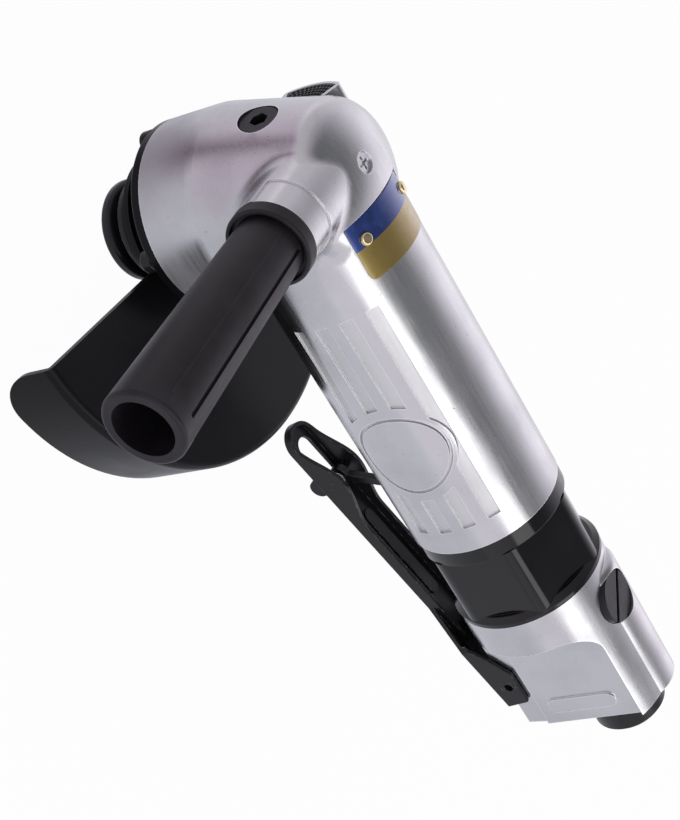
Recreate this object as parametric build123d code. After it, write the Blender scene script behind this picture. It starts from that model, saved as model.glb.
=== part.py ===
from build123d import *
import math
import os

# Compressed-air angle grinder, in millimetres.
# Shapes are drawn about the crossing of the barrel axis (X, towards the air inlet) and the
# spindle axis (Z, away from the wheel). They are lifted at the end, so that the origin is
# the centre of the wheel seat.

# Fits
press_gap = 0.03      # radial gap of pieces that are pressed or screwed together
run_gap = 0.05        # radial gap of a shaft that turns or slides in a hole
move_gap = 0.4        # gap between pieces that move past each other
overcut = 1.0         # how far a cutting shape runs past the face it opens

# Barrel and head casting
barrel_radius = 26.0
barrel_end = 124.0    # spindle axis to the barrel's rear face
head_step = 3.4       # head beyond the barrel's radius
cover_margin = 1.7    # blend between head and barrel to the cover joint
dome_step = 1.0       # top of the head above the barrel's top line
taper_drop = 18.0     # barrel axis down to where the head starts to taper
head_taper = 8.0
head_lean = 4.0       # the tapered part leans back, so its front slopes more than its rear
head_round = 14.0     # rounding where the taper starts
cap_radius = 40.0     # low dome on top of the head
cap_round = 10.0
head_blend = 8.0      # fillet between head and barrel
boss_blend = 8.0      # fillet round the handle boss

# Exhaust duct along the far upper side of the casting
duct_step = 0.7             # duct beyond the barrel's radius
duct_front = -18.0
duct_end = 50.0
duct_start_angle = 141.0    # angles run from the handle side (-Y) up and over
duct_sweep = 55.0
duct_corner = 2.0
duct_wall = 2.4
passage_height = 4.6
passage_margin = 9.0        # angle of solid wall at the upper edge of the passage
passage_sweep = 40.0
mouth_wall = 1.0            # the passage widens into a thin-walled mouth
mouth_height = 7.0
mouth_margin = 4.0
mouth_depth = 8.0
grille_thickness = 2.0
grille_hole_radius = 0.6
grille_rows = 4
grille_columns = 11

# Cast ribs and round blank boss on the handle side of the barrel
rib_angles = (-18.5, 1.6, 20.0, 39.0)
rib_width = 4.2
rib_depth = 0.7
rib_start = 33.8
rib_end = 115.3
disc_x = 83.7
disc_angle = 4.0
disc_radius = 14.7
disc_margin = 3.5           # disc to the ends of the ribs
disc_side_margin = 1.3      # disc to the rib that runs past it
disc_groove = 1.0

# Data plate with two drive rivets
plate_start = 8.2
plate_length = 18.5
plate_angle = 48.0
plate_sweep = 68.0
plate_thickness = 0.5
plate_margin = 0.5
plate_corner = 2.0
rivet_radius = 2.0
rivet_head = 1.3
rivet_length = 4.0
near_rivet_x = 6.4          # rivet centre to the plate's front edge
near_rivet_angle = 9.9      # rivet centre to the plate's lower edge, in degrees
far_rivet_x = 5.6
far_rivet_angle = 5.0       # rivet centre to the plate's upper edge

# Hexagon-socket plug in the front of the head, and the small screw on top of it
plug_rise = 18.55           # along the head's lean, from where the taper starts
plug_angle = 185.7          # direction round the head, from +X
plug_radius = 6.2
plug_length = 7.0
plug_sink = 0.8
plug_socket = 5.0           # across flats
plug_socket_depth = 4.0
oil_hole_radius = 2.0
top_screw_x = -2.6
top_screw_y = -2.2
top_screw_radius = 3.2
top_screw_length = 6.0
top_screw_slot = 0.8
top_screw_sink = 0.8

# Side handle
handle_x = -4.1
handle_sink = 13.3          # handle axis below the barrel's top line
boss_radius = 12.2
boss_proud = 7.0            # face that the handle tightens against, beyond the head
boss_root_step = 0.5        # cast root beyond the turned part of the boss
boss_root_sink = 3.0        # end of the turned part behind the head's side
handle_collar_radius = 12.7
handle_collar = 5.0
handle_cup = 1.8            # depth of the recess round the grip's root
handle_cup_wall = 1.2
grip_length = 74.6
grip_root_radius = 10.2
grip_end_radius = 11.8
grip_bore = 8.65
grip_bore_depth = 52.0
grip_groove_width = 1.4
grip_groove_depth = 0.7
grip_groove_margin = 5.0    # plain length at the grip's end
grip_groove_turns = (11.0, 51.0, 91.0, 131.0)
grip_seam_width = 0.6
grip_seam_height = 0.2
grip_seam_turns = (-29.0, 151.0)
grip_edge = 1.2
stud_radius = 4.0
stud_in_boss = 20.0
stud_in_grip = 20.0

# Bevel gears
pinion_teeth = 12
gear_teeth = 25
gear_module = 1.6
gear_face = 7.0
tooth_fill = 0.37           # share of the pitch that a tooth fills at the pitch line
tooth_addendum = 0.8        # in modules
tooth_dedendum = 1.25
tooth_flank = 20.0          # flank angle in degrees
tooth_sink = 0.4
gear_back = 20.0            # barrel axis down to the gear's hub face
gear_hub_radius = 12.0
gear_rim = 5.5              # thickness behind the tooth roots
gear_room = 1.9             # casting to the gear's tips
pinion_hub_radius = 7.6
pinion_hub_end = 26.0
pinion_room = 1.6

# Spindle
spindle_thread_radius = 7.94
spindle_gear_radius = 7.0
spindle_bearing_radius = 7.5
spindle_seal_radius = 9.0
spindle_neck_radius = 5.0
spindle_top_radius = 4.0
spindle_top_bearing = 10.0  # barrel axis up to the upper bearing
spindle_tail = 1.0          # thread showing under the nut

# Ball bearings: outer radius and width, the bore comes from the shaft
spindle_top_outer = 9.5
spindle_top_width = 6.0
spindle_low_outer = 17.5
spindle_low_width = 11.0
rotor_front_outer = 13.0
rotor_front_width = 8.0
rotor_rear_outer = 11.0
rotor_rear_width = 7.0
ball_share = 0.25           # ball radius as a share of the ring height
ball_pitch_share = 1.35     # ball spacing in ball diameters
race_lip = 0.55             # ring lip over the ball centre line, in ball radii
cage_half = 0.33            # half the cage's thickness, in ball radii
cage_margin = 0.6           # cage side beyond the balls

# Spindle cover, wheel flanges and seal
cover_rim = 3.3
cover_neck_radius = 17.0
cover_neck_end = 54.4       # barrel axis down to the end of the neck
cover_lip = 6.0
cover_screws = 4
cover_screw_inset = 3.5     # screw centre to the head's side
cover_screw_angle = 176.0
cover_screw_radius = 2.0
cover_screw_head_radius = 3.5
cover_screw_head = 3.8
cover_screw_length = 9.0
cover_screw_socket = 1.3
seal_width = 6.0
seal_radius = 13.0
flange_radius = 16.0
flange_thickness = 2.0
flange_gap = 0.5            # neck to the inner flange
pilot_radius = 11.1
pilot_height = 1.6
wheel_gap = 3.4
nut_thickness = 4.3
nut_hole_radius = 2.0
nut_hole_circle = 11.5
edge_round = 0.8

# Wheel guard
guard_radius = 77.0
guard_drop = 47.4           # barrel axis down to the top of the guard's plate
guard_sheet = 2.0
guard_depth = 23.5
guard_bend = 2.6
guard_chord = 7.3           # spindle axis to the guard's straight edge
guard_turn = -7.5
guard_corner = 14.0
guard_web_radius = 21.5
guard_collar_height = 4.0
guard_collar_wall = 1.8
band_wall = 1.5
band_height = 3.2
band_gap = 3.0
band_lug = 7.0
band_lug_thickness = 2.0
band_screw_radius = 1.0
band_screw_head_radius = 1.9
band_screw_head = 2.0
band_direction = 75.0

# Air motor
motor_radius = 21.0
motor_front = 33.0
rotor_radius = 15.0
rotor_shaft_radius = 5.0
rotor_tail_radius = 4.0
pinion_shaft_radius = 3.5
liner_bore = 17.0
liner_length = 56.0
rotor_side_gap = 0.2
rear_plate = 9.0
vane_count = 5
vane_thickness = 2.4
vane_depth = 8.0
port_count = 3
port_width = 3.0
port_pitch = 5.0
port_sweep = 26.0

# Spacer ring and coupling collar behind the barrel
spacer_drop = 0.2           # ring below the barrel's surface
spacer_width = 5.6
collar_lip = 0.2            # collar beyond the valve body
collar_width = 27.6
flat_drop = 3.0             # flats below the collar's rim
collar_flats = 6
collar_ridge_angle = 34.5
collar_rim = 3.3
collar_rim_slope = 1.8
collar_ridge_drop = 0.25    # rounded corners between the flats, below the rim

# Valve body
valve_step = 0.3            # valve body beyond the barrel's radius
valve_length = 56.3
chamber_radius = 14.0
chamber_depth = 40.0
chamber_lane_radius = 6.0
ridge_radius = 13.0
ridge_y = 3.0
ridge_drop = 11.0           # ridge's centre below the valve body's radius
ridge_setback = 3.0
facet_setback = 13.6        # front face of the valve body to the facet's shoulder
facet_half = 14.5           # half width over the facets, at facet_level
facet_level = 4.5
facet_tilt = 5.3
facet_top = 22.0
facet_corner = 11.0
land_half = 15.0            # half width between the lever's cheeks
land_top = 13.5             # barrel axis down to the upper edge of the land
pad_length = 25.0
pad_width = 6.2
pad_height = 0.7
pad_x = 8.2                 # pad centre to the tail face
pad_z = 3.0
o_ring_radius = 1.3
o_ring_setback = 7.0

# Air inlet
inlet_z = 9.2
inlet_collar_radius = 12.9
inlet_collar = 9.5
inlet_thread_radius = 10.5
inlet_thread = 17.0
inlet_port_radius = 5.72
inlet_port_depth = 14.0
inlet_lane_radius = 5.0
inlet_edge = 1.5
screen_thickness = 1.5
screen_hole_radius = 0.7
screen_rings = (0, 6)
screen_ring_step = 2.4

# Power regulator on top of the valve body
regulator_setback = 14.4
regulator_y = -0.5
regulator_radius = 8.9
regulator_length = 11.0
regulator_crown = 0.6
regulator_slot = 1.6
regulator_slot_depth = 2.2
regulator_slot_angle = -51.5
regulator_seal = 1.0

# Throttle valve
plunger_setback = 20.8      # front face of the valve body to the plunger's axis
plunger_radius = 2.4
bush_radius = 6.0
bush_length = 13.0
valve_disc_radius = 4.4
valve_disc = 3.0
spring_wall = 1.0

# Throttle lever, drawn about its pivot with its web level, then tilted
pivot_to_tail = 19.0
pivot_margin = 6.3          # pivot to the valve body's lower side
lever_tilt = 11.6
lever_sheet = 1.3
lever_half = 6.8
lever_reach = 115.6         # pivot to tip
web_drop = 13.7             # pivot to the underside of the web
rim_height = 3.0            # at the tip
ear_height = 9.9
ear_rise = 19.0             # length over which the rim rises to the ears
ear_fall = 20.0
ear_steps = 6
channel_height = 4.4
yoke_length = 34.0          # pivot to where the channel starts to flare
yoke_web_end = 9.0          # pivot to the rear edge of the yoke's web
flare_length = 15.0
flare_height = 7.6
cheek_rise = 5.0
cheek_tail = 8.0
cheek_lip = 7.0             # pivot to the cheek's lower edge
cheek_front = 24.0
lever_pin_radius = 2.8
lever_pin_bore = 1.6
web_slot_half = 3.6
web_slot_start = 5.5        # tip to the slot's near end
web_slot_end = 31.0
bead_width = 4.6
bead_height = 1.0
bead_start = 40.0           # tip to the bead
bead_end = 80.0

# Lock lever in the throttle lever's ears
lock_from_tip = 23.3
lock_lift = 4.6             # underside of the web up to the lock's pin
lock_half = 1.4
lock_hub_radius = 3.4
lock_pin_radius = 1.3
lock_knob_radius = 3.4
lock_knob_x = 1.8
lock_knob_drop = 11.0
lock_arm_x = 8.6
lock_arm_rise = 14.2
lock_arm_radius = 1.4
lock_spring_radius = 2.5
lock_spring_wire = 0.7
lock_spring_pitch = 1.2
lock_spring_turns = 2.25
spring_marks = 180          # points at which the spring's gap to itself is measured

# Worked-out places
head_radius = barrel_radius + head_step
head_rise = barrel_radius + dome_step
head_drop = barrel_radius + head_blend + cover_margin
handle_z = barrel_radius - handle_sink
duct_radius = barrel_radius + duct_step
boss_face = head_radius + boss_proud
boss_root_radius = boss_radius + boss_root_step
boss_root_face = head_radius - boss_root_sink
cover_screw_circle = head_radius - cover_screw_inset
spacer_radius = barrel_radius - spacer_drop
valve_radius = barrel_radius + valve_step
collar_radius = valve_radius + collar_lip
collar_flat = collar_radius - flat_drop
flat_half_angle = math.pi / collar_flats
ridge_radius_share = 1 / math.cos(flat_half_angle)
collar_corner = ((collar_flat * ridge_radius_share - collar_radius + collar_ridge_drop)
                 / (ridge_radius_share - 1))
ridge_z = valve_radius - ridge_drop
pivot_drop = valve_radius - pivot_margin
seat_z = -(cover_neck_end + flange_gap + flange_thickness)
nut_z = seat_z - wheel_gap
spindle_end_z = nut_z - nut_thickness - spindle_tail
lean_place = Pos(0, 0, -taper_drop) * Rot(0, head_lean, 0)
gear_pitch_radius = gear_module * gear_teeth / 2
pinion_pitch_radius = gear_module * pinion_teeth / 2
cone_length = math.hypot(gear_pitch_radius, pinion_pitch_radius)
gear_angle = math.atan2(gear_pitch_radius, pinion_pitch_radius)
pinion_angle = math.pi / 2 - gear_angle
root_drop = math.atan(tooth_dedendum * gear_module / cone_length)
inner_cone = cone_length - gear_face
gear_tip_radius = gear_pitch_radius + tooth_addendum * gear_module * math.cos(gear_angle)
cavity_radius = gear_tip_radius + gear_room
pinion_tip_radius = pinion_pitch_radius + tooth_addendum * gear_module * math.cos(pinion_angle)
tunnel_radius = pinion_tip_radius + pinion_room
liner_start = motor_front + rotor_front_width
liner_end = liner_start + liner_length
motor_end = liner_end + rear_plate
rotor_start = liner_start + rotor_side_gap
rotor_end = liner_end - rotor_side_gap
liner_offset = liner_bore - rotor_radius - rotor_side_gap
spacer_end = barrel_end + spacer_width
collar_end = spacer_end + collar_width
tail_x = collar_end + valve_length
pivot_x = tail_x - pivot_to_tail
plunger_x = collar_end + plunger_setback
regulator_x = collar_end + regulator_setback
passage_outer = duct_radius - duct_wall
passage_inner = passage_outer - passage_height
passage_angle = duct_start_angle + passage_margin
port_angle = passage_angle + passage_sweep / 2
mouth_outer = duct_radius - mouth_wall
mouth_inner = mouth_outer - mouth_height
mouth_angle = duct_start_angle + mouth_margin
mouth_sweep = duct_sweep - 2 * mouth_margin
mouth_end = duct_front + mouth_depth
passage_end = liner_start + port_pitch * port_count
low_bearing_z = -gear_back - spindle_low_width
screw_floor_z = -head_drop - cover_rim
handle_collar_end = boss_face + handle_collar
grip_end = handle_collar_end + grip_length
cheek_half = land_half + move_gap + lever_sheet
lever_place = Pos(pivot_x, 0, -pivot_drop) * Rot(0, -lever_tilt, 0)
web_z = -web_drop
lock_x = lock_from_tip - lever_reach
lock_z = web_z + lock_lift

pieces = {}


def rod_x(radius, start, end, y=0.0, z=0.0):
    return Pos((start + end) / 2, y, z) * Rot(0, 90, 0) * Cylinder(radius, end - start)


def rod_y(radius, start, end, x=0.0, z=0.0):
    return Pos(x, (start + end) / 2, z) * Rot(90, 0, 0) * Cylinder(radius, end - start)


def rod_z(radius, start, end, x=0.0, y=0.0):
    return Pos(x, y, (start + end) / 2) * Cylinder(radius, end - start)


def tube_x(outer, inner, start, end):
    return rod_x(outer, start, end) - rod_x(inner, start - overcut, end + overcut)


def tube_z(outer, inner, start, end):
    return rod_z(outer, start, end) - rod_z(inner, start - overcut, end + overcut)


def block(x0, x1, y0, y1, z0, z1):
    return Pos((x0 + x1) / 2, (y0 + y1) / 2, (z0 + z1) / 2) * Box(x1 - x0, y1 - y0, z1 - z0)


# A plane across the barrel whose angles run from -Y up and over, seen from the tail
def barrel_plane(x):
    return Plane(origin=(x, 0, 0), x_dir=(0, -1, 0), z_dir=(-1, 0, 0))


# A band round the barrel axis between two radii, two angles and two stations
def arc_band(inner, outer, angle, sweep_angle, start, end):
    far = CenterArc((0, 0), outer, angle, sweep_angle)
    near = CenterArc((0, 0), inner, angle, sweep_angle)
    face = make_face([far, Line(far @ 1, near @ 1), near, Line(near @ 0, far @ 0)])
    return extrude(barrel_plane(end) * face, end - start)


# A place on a cylinder round the barrel axis, with Z pointing outwards
def barrel_place(x, angle, radius):
    turn = math.radians(angle)
    outward = (0, -math.cos(turn), math.sin(turn))
    point = (x, outward[1] * radius, outward[2] * radius)
    return Plane(origin=point, x_dir=(1, 0, 0), z_dir=outward)


def profile_y(points, half):
    face = make_face(Polyline(*points, close=True))
    return extrude(Plane.XZ * face, half, both=True)


# Curved edges of a fused solid that lie on a rod, given the reach of a spot from its axis
def seam_on_rod(solid, radius, reach):
    def on_rod(edge):
        spots = [edge @ share for share in (0.0, 0.3, 0.5, 0.8)]
        return max(abs(reach(spot) - radius) for spot in spots) < press_gap

    return [edge for edge in solid.edges() if edge.geom_type == GeomType.BSPLINE and on_rod(edge)]


def reach_from_barrel(spot):
    return math.hypot(spot.Y, spot.Z)


def reach_from_handle(spot):
    return math.hypot(spot.X - handle_x, spot.Z - handle_z)


# Section of the head's leaning upper part: tapered side, rounded edge, low dome
def head_section():
    slope = math.tan(math.radians(head_taper))
    rise = (head_rise + taper_drop) / math.cos(math.radians(head_lean))
    middle = rise - cap_radius
    lead = head_radius * slope + middle
    fold = 1 + slope ** 2
    left = lead ** 2 - fold * (head_radius ** 2 + middle ** 2 - cap_radius ** 2)
    edge = (lead + math.sqrt(left)) / fold
    corner = (head_radius - edge * slope, edge)
    turn = math.degrees(math.atan2(edge - middle, corner[0]))
    cap = CenterArc((0, middle), cap_radius, turn, 90 - turn)
    foot = (head_radius + head_drop * slope, -head_drop)
    face = make_face([Line((0, -head_drop), foot), Line(foot, corner), cap,
                      Line((0, rise), (0, -head_drop))])
    return fillet(face.vertices().sort_by_distance(corner)[0], cap_round)


# Casting: barrel, leaning head, handle boss and exhaust duct
def make_motor_housing():
    upper = lean_place * revolve(Plane.XZ * head_section(), Axis.Z)
    head = rod_z(head_radius, -head_drop, head_rise + head_blend) & upper
    head = fillet([edge for edge in head.edges() if edge.geom_type == GeomType.BSPLINE], head_round)
    body = head + rod_x(barrel_radius, 0, barrel_end)
    body = fillet(seam_on_rod(body, barrel_radius, reach_from_barrel), head_blend)
    body = body + rod_y(boss_root_radius, -boss_face, 0, handle_x, handle_z)
    body = fillet(seam_on_rod(body, boss_root_radius, reach_from_handle), boss_blend)

    # The boss is turned down to the handle's collar over its upper half
    turned = rod_y(boss_root_radius + boss_blend, -boss_face - overcut, -boss_root_face, handle_x, handle_z)
    turned -= rod_y(boss_radius, -boss_face - 2 * overcut, 0, handle_x, handle_z)
    body -= turned & block(-2 * head_radius, 2 * head_radius, -2 * head_radius, 0, handle_z, 2 * head_radius)
    duct = arc_band(passage_inner, duct_radius, duct_start_angle, duct_sweep, duct_front, duct_end)
    corners = [edge for edge in duct.edges().filter_by(Axis.X)
               if math.hypot(edge.center().Y, edge.center().Z) > barrel_radius]
    body = body + fillet(corners, duct_corner)

    # Hollows for the gears, the spindle's upper bearing and the motor
    body -= rod_z(cavity_radius, -head_drop - overcut, -pinion_pitch_radius / 2)
    body -= rod_z(tunnel_radius, -head_drop, spindle_top_bearing)
    body -= rod_z(spindle_top_outer + press_gap, 0, spindle_top_bearing + spindle_top_width)
    body -= rod_x(tunnel_radius, 0, motor_front + overcut)
    body -= rod_x(motor_radius, motor_front, barrel_end + overcut)

    # Exhaust passage from the motor bore to the mouth, which is open at the front
    body -= arc_band(passage_inner, passage_outer, passage_angle, passage_sweep,
                     mouth_end - overcut, passage_end)
    body -= arc_band(mouth_inner, mouth_outer, mouth_angle, mouth_sweep,
                     -head_radius - overcut, mouth_end)

    # Holes for the handle stud, the front plug, the top screw and the cover screws
    body -= rod_y(stud_radius + press_gap, -boss_face - overcut, -boss_face + stud_in_boss,
                  handle_x, handle_z)
    body -= plug_place() * rod_z(plug_radius + press_gap, -plug_length, head_radius)
    body -= plug_place() * rod_z(oil_hole_radius, -head_radius, 0)
    body -= rod_z(top_screw_radius + press_gap, head_rise - top_screw_length, head_rise + overcut,
                  top_screw_x, top_screw_y)
    body -= rod_z(oil_hole_radius, spindle_top_bearing, head_rise, top_screw_x, top_screw_y)
    for spot in cover_screw_spots():
        body -= spot * rod_z(cover_screw_radius + press_gap, -head_drop - overcut,
                             screw_floor_z + cover_screw_length + overcut)

    # Cast ribs and the blank disc are pressed into the barrel's near side
    place = barrel_place(disc_x, disc_angle, barrel_radius)
    for angle in rib_angles:
        sweep_angle = math.degrees(rib_width / barrel_radius)
        rib = arc_band(barrel_radius - rib_depth, barrel_radius + overcut,
                       angle - sweep_angle / 2, sweep_angle, rib_start, rib_end)
        margin = disc_side_margin if angle == max(rib_angles) else disc_margin
        body -= rib - place * rod_z(disc_radius + margin, -barrel_radius, barrel_radius)
    groove = place * tube_z(disc_radius, disc_radius - disc_groove, -barrel_radius, overcut)
    ring = arc_band(barrel_radius - rib_depth, barrel_radius + overcut, disc_angle - 90, 180,
                    disc_x - disc_radius - overcut, disc_x + disc_radius + overcut)
    body -= ring & groove

    # Flat seat for the data plate, and its rivet holes
    margin = math.degrees(plate_margin / barrel_radius)
    body -= arc_band(barrel_radius, head_radius, plate_angle - margin, plate_sweep + 2 * margin,
                     plate_start - plate_margin, plate_start + plate_length + plate_margin)
    for spot in rivet_spots():
        body -= spot * rod_z(rivet_radius / 2 + press_gap, -rivet_length - press_gap, overcut)
    return body


# Place of the front plug, sunk straight into the leaning side
def plug_place():
    turn = math.radians(plug_angle)
    slope = math.radians(head_taper)
    reach = head_radius - plug_rise * math.tan(slope)
    outward = (math.cos(turn) * math.cos(slope), math.sin(turn) * math.cos(slope), math.sin(slope))
    spot = Plane(origin=(reach * math.cos(turn), reach * math.sin(turn), plug_rise),
                 x_dir=(-math.sin(turn), math.cos(turn), 0), z_dir=outward)
    return lean_place * spot.offset(-plug_sink).location


def cover_screw_spots():
    step = 360 / cover_screws
    turns = [cover_screw_angle + step * index for index in range(cover_screws)]
    return [Rot(0, 0, turn) * Pos(cover_screw_circle, 0, 0) for turn in turns]


def rivet_spots():
    near = barrel_place(plate_start + near_rivet_x, plate_angle + near_rivet_angle, barrel_radius)
    far = barrel_place(plate_start + far_rivet_x, plate_angle + plate_sweep - far_rivet_angle,
                       barrel_radius)
    return [near, far]


# Perforated plate in the mouth of the exhaust passage
def make_exhaust_grille():
    plate = arc_band(mouth_inner + press_gap, mouth_outer - press_gap,
                     mouth_angle + math.degrees(press_gap / mouth_inner),
                     mouth_sweep - 2 * math.degrees(press_gap / mouth_inner),
                     duct_front, duct_front + grille_thickness)
    holes = []
    row_step = mouth_height / (grille_rows + 1)
    angle_step = mouth_sweep / (grille_columns + 1)
    for row in range(grille_rows):
        for column in range(grille_columns):
            radius = mouth_inner + row_step * (row + 1)
            turn = math.radians(mouth_angle + angle_step * (column + 1 - row % 2 / 2))
            holes.append(rod_x(grille_hole_radius, duct_front - overcut,
                               duct_front + grille_thickness + overcut,
                               -math.cos(turn) * radius, math.sin(turn) * radius))
    return plate - holes


def make_nameplate():
    bed = barrel_radius + press_gap
    plate = arc_band(bed, bed + plate_thickness, plate_angle, plate_sweep,
                     plate_start, plate_start + plate_length)
    short = [edge for edge in plate.edges() if edge.length < 2 * plate_thickness]
    plate = fillet(short, plate_corner)
    for spot in rivet_spots():
        plate -= spot * rod_z(rivet_radius / 2 + press_gap, -overcut, plate_thickness + overcut)
    return plate


def make_nameplate_rivets():
    shank = rod_z(rivet_radius / 2, -rivet_length, plate_thickness + rivet_head / 2)
    head = rod_z(rivet_radius, plate_thickness + press_gap, plate_thickness + rivet_head)
    rivet = shank + fillet(head.edges().group_by(Axis.Z)[-1], rivet_head * 0.7)
    return Compound([spot * rivet for spot in rivet_spots()])


def make_head_plug():
    plug = rod_z(plug_radius, -plug_length + press_gap, 0)
    socket = extrude(RegularPolygon(plug_socket / 2, 6, major_radius=False), -plug_socket_depth)
    return plug_place() * (chamfer(plug.edges().group_by(Axis.Z)[-1], plug_sink / 2) - socket)


# Small countersunk screw with a cross slot, flush with the top of the dome
def make_top_screw():
    top = head_rise - top_screw_sink
    screw = rod_z(top_screw_radius, head_rise - top_screw_length + press_gap, top)
    for turn in (0, 90):
        slot = Box(top_screw_radius * 1.3, top_screw_slot, 2 * top_screw_slot)
        screw -= Pos(0, 0, top) * Rot(0, 0, turn) * slot
    return Pos(top_screw_x, top_screw_y, 0) * screw


# Bearing along Z from 0 to its width: outer ring, inner ring, balls with their cage
def make_bearing(bore, outer, width):
    ball = ball_share * (outer - bore)
    pitch = (outer + bore) / 2
    track = Pos(0, 0, width / 2) * Torus(pitch, ball + run_gap)
    outer_ring = tube_z(outer, pitch + race_lip * ball, 0, width) - track
    inner_ring = tube_z(pitch - race_lip * ball, bore, 0, width) - track
    count = int(math.pi * pitch / (ball * ball_pitch_share))
    spots = [Rot(0, 0, 360 * index / count) * Pos(pitch, 0, width / 2) for index in range(count)]
    half = ball + cage_margin
    cage = tube_z(pitch + cage_half * ball, pitch - cage_half * ball, width / 2 - half, width / 2 + half)
    window = Rot(0, 90, 0) * Cylinder(ball + run_gap, ball)
    cage -= [spot * window for spot in spots]
    return outer_ring, inner_ring, Compound([cage] + [spot * Sphere(ball) for spot in spots])


def add_bearing(name, bore, outer, width, place):
    rings = make_bearing(bore + press_gap, outer, width)
    for suffix, ring in zip(("outer_race", "inner_race", "balls"), rings):
        pieces[name + "_" + suffix] = place * ring


# Straight bevel tooth between the outer and inner cone distance
def bevel_tooth(plane_at):
    half = tooth_fill * math.pi * gear_module / 2
    lean = math.tan(math.radians(tooth_flank))
    low = -(tooth_dedendum * gear_module + tooth_sink)
    high = tooth_addendum * gear_module
    faces = []
    for length in (cone_length, inner_cone):
        share = length / cone_length
        points = [(-half + low * lean, low), (half - low * lean, low),
                  (half - high * lean, high), (-half + high * lean, high)]
        face = make_face(Polyline(*[(x * share, y * share) for x, y in points], close=True))
        faces.append(plane_at(length) * face)
    return loft(faces, ruled=True)


def gear_plane(turn, length):
    across = (-math.sin(turn), math.cos(turn), 0)
    slope = math.sin(gear_angle)
    along = (slope * math.cos(turn), slope * math.sin(turn), -math.cos(gear_angle))
    return Plane(origin=[length * value for value in along], x_dir=across, z_dir=along)


def pinion_plane(turn, length):
    across = (0, math.cos(turn), math.sin(turn))
    slope = math.sin(pinion_angle)
    along = (math.cos(pinion_angle), slope * math.sin(turn), -slope * math.cos(turn))
    back = [-value for value in along]
    return Plane(origin=[length * value for value in along], x_dir=across, z_dir=back)


# A tooth space of the gear faces the pinion, and a tooth of the pinion faces the gear
def make_bevel_gear():
    root = gear_angle - root_drop
    inner = (inner_cone * math.sin(root), -inner_cone * math.cos(root))
    outer = (cone_length * math.sin(root), -cone_length * math.cos(root))
    bore = spindle_gear_radius + press_gap
    rim = outer[1] - gear_rim
    outline = [(bore, inner[1]), inner, outer, (outer[0], rim), (gear_hub_radius, rim),
               (gear_hub_radius, -gear_back), (bore, -gear_back)]
    blank = revolve(Plane.XZ * make_face(Polyline(*outline, close=True)), Axis.Z)
    step = 2 * math.pi / gear_teeth
    teeth = [bevel_tooth(lambda length, turn=step * (index + 0.5): gear_plane(turn, length))
             for index in range(gear_teeth)]
    return blank + teeth


def make_drive_pinion():
    root = pinion_angle - root_drop
    inner = (inner_cone * math.cos(root), inner_cone * math.sin(root))
    outer = (cone_length * math.cos(root), cone_length * math.sin(root))
    bore = pinion_shaft_radius + press_gap
    outline = [(inner[0], bore), inner, outer, (outer[0], pinion_hub_radius),
               (pinion_hub_end, pinion_hub_radius), (pinion_hub_end, bore)]
    blank = revolve(Plane.XZ * make_face(Polyline(*outline, close=True)), Axis.X)
    step = 2 * math.pi / pinion_teeth
    teeth = [bevel_tooth(lambda length, turn=step * index: pinion_plane(turn, length))
             for index in range(pinion_teeth)]
    return blank + teeth


def make_spindle():
    top = spindle_top_bearing + spindle_top_width
    gear_top = -inner_cone * math.cos(gear_angle)
    shaft = rod_z(spindle_top_radius, spindle_top_bearing, top - press_gap)
    shaft += rod_z(spindle_neck_radius, gear_top, spindle_top_bearing)
    shaft += rod_z(spindle_gear_radius, -gear_back, gear_top)
    shaft += rod_z(spindle_bearing_radius, low_bearing_z, -gear_back)
    shaft += rod_z(spindle_seal_radius, -cover_neck_end - flange_gap, low_bearing_z)
    shaft += rod_z(spindle_thread_radius, spindle_end_z, -cover_neck_end - flange_gap)
    return chamfer(shaft.edges().group_by(Axis.Z)[0], edge_round)


def make_inner_flange():
    bore = spindle_thread_radius + press_gap
    disc = rod_z(flange_radius, seat_z, seat_z + flange_thickness)
    disc = fillet(disc.edges().group_by(Axis.Z)[-1], edge_round)
    disc += rod_z(pilot_radius, seat_z - pilot_height, seat_z)
    return disc - rod_z(bore, seat_z - 2 * pilot_height, seat_z + 2 * flange_thickness)


# Round wheel nut with two holes for a pin spanner
def make_flange_nut():
    nut = rod_z(flange_radius, nut_z - nut_thickness, nut_z)
    nut = fillet(nut.edges().filter_by(GeomType.CIRCLE), 2 * edge_round)
    nut -= rod_z(spindle_thread_radius + press_gap, nut_z - 2 * nut_thickness, nut_z + overcut)
    for side in (-1, 1):
        nut -= rod_z(nut_hole_radius, nut_z - nut_thickness - overcut, nut_z - nut_thickness / 3,
                     side * nut_hole_circle)
    return nut


# Cover under the head: spigot with the lower bearing, rim and neck
def make_spindle_cover():
    neck_end = -cover_neck_end
    body = rod_z(cavity_radius - press_gap, -head_drop, -gear_back)
    body += fillet(rod_z(head_radius, screw_floor_z, -head_drop).edges().group_by(Axis.Z)[0],
                   edge_round)
    body += rod_z(cover_neck_radius, neck_end, screw_floor_z)
    body -= rod_z(spindle_low_outer + press_gap, low_bearing_z, -gear_back + overcut)
    body -= rod_z(seal_radius + press_gap, neck_end + cover_lip, low_bearing_z + overcut)
    body -= rod_z(spindle_seal_radius + move_gap, neck_end - overcut, low_bearing_z)
    for spot in cover_screw_spots():
        body -= spot * rod_z(cover_screw_radius + press_gap, screw_floor_z - overcut, -gear_back)
    return body


def make_cover_screws():
    shank = rod_z(cover_screw_radius, screw_floor_z, screw_floor_z + cover_screw_length)
    head = rod_z(cover_screw_head_radius, screw_floor_z - cover_screw_head, screw_floor_z)
    head = fillet(head.edges().group_by(Axis.Z)[0], edge_round)
    socket = extrude(RegularPolygon(cover_screw_socket, 6, major_radius=False), cover_screw_head / 2)
    screw = head + shank - Pos(0, 0, screw_floor_z - cover_screw_head) * socket
    return Compound([spot * screw for spot in cover_screw_spots()])


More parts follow.
